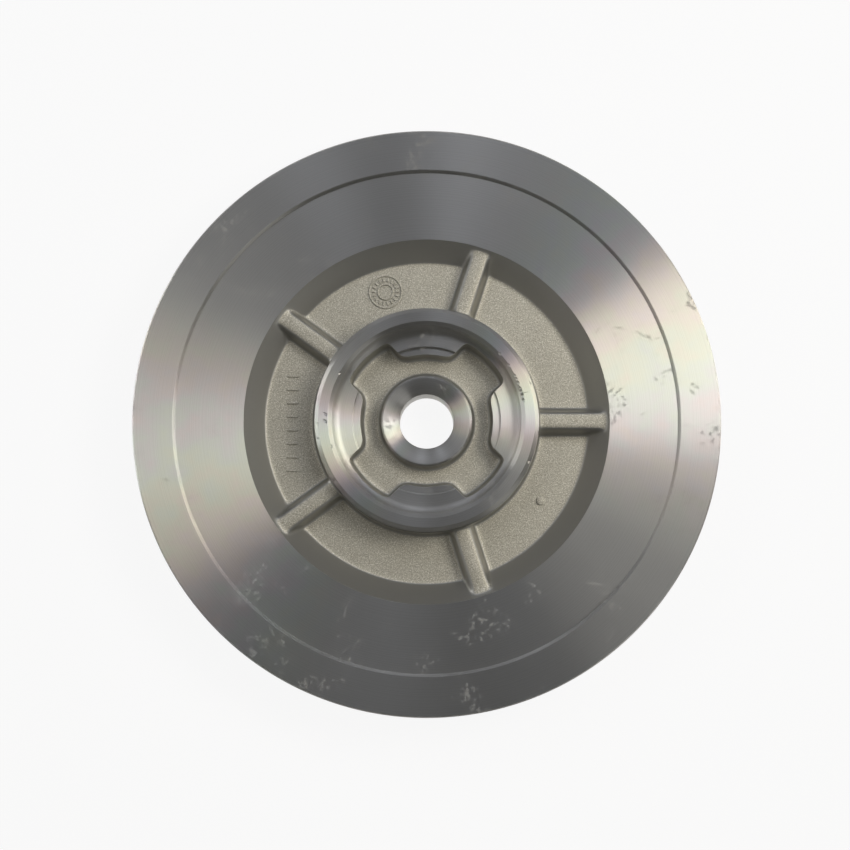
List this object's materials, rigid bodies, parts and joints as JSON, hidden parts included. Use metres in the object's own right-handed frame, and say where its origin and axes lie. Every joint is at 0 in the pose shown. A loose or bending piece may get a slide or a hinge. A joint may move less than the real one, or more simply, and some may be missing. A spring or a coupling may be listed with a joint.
{
  "type": "turbo seal plate",
  "caption": "Round turned plate with a ribbed cast recess, a hub spigot and a seal bore, closing a turbocharger's compressor side.",
  "frame": {"origin": "on the bore axis, at the compressor side's flat face", "axes": "+Z along the bore axis, out of the ribbed side; +X along one rib"},
  "size_m": [0.176, 0.176, 0.023],
  "materials": {
    "cast_aluminium": "turned all over, sand-cast in the recess and the hub pocket"
  },
  "bodies": {
    "root": {"seal_plate": "cast_aluminium"}
  },
  "joints": []
}
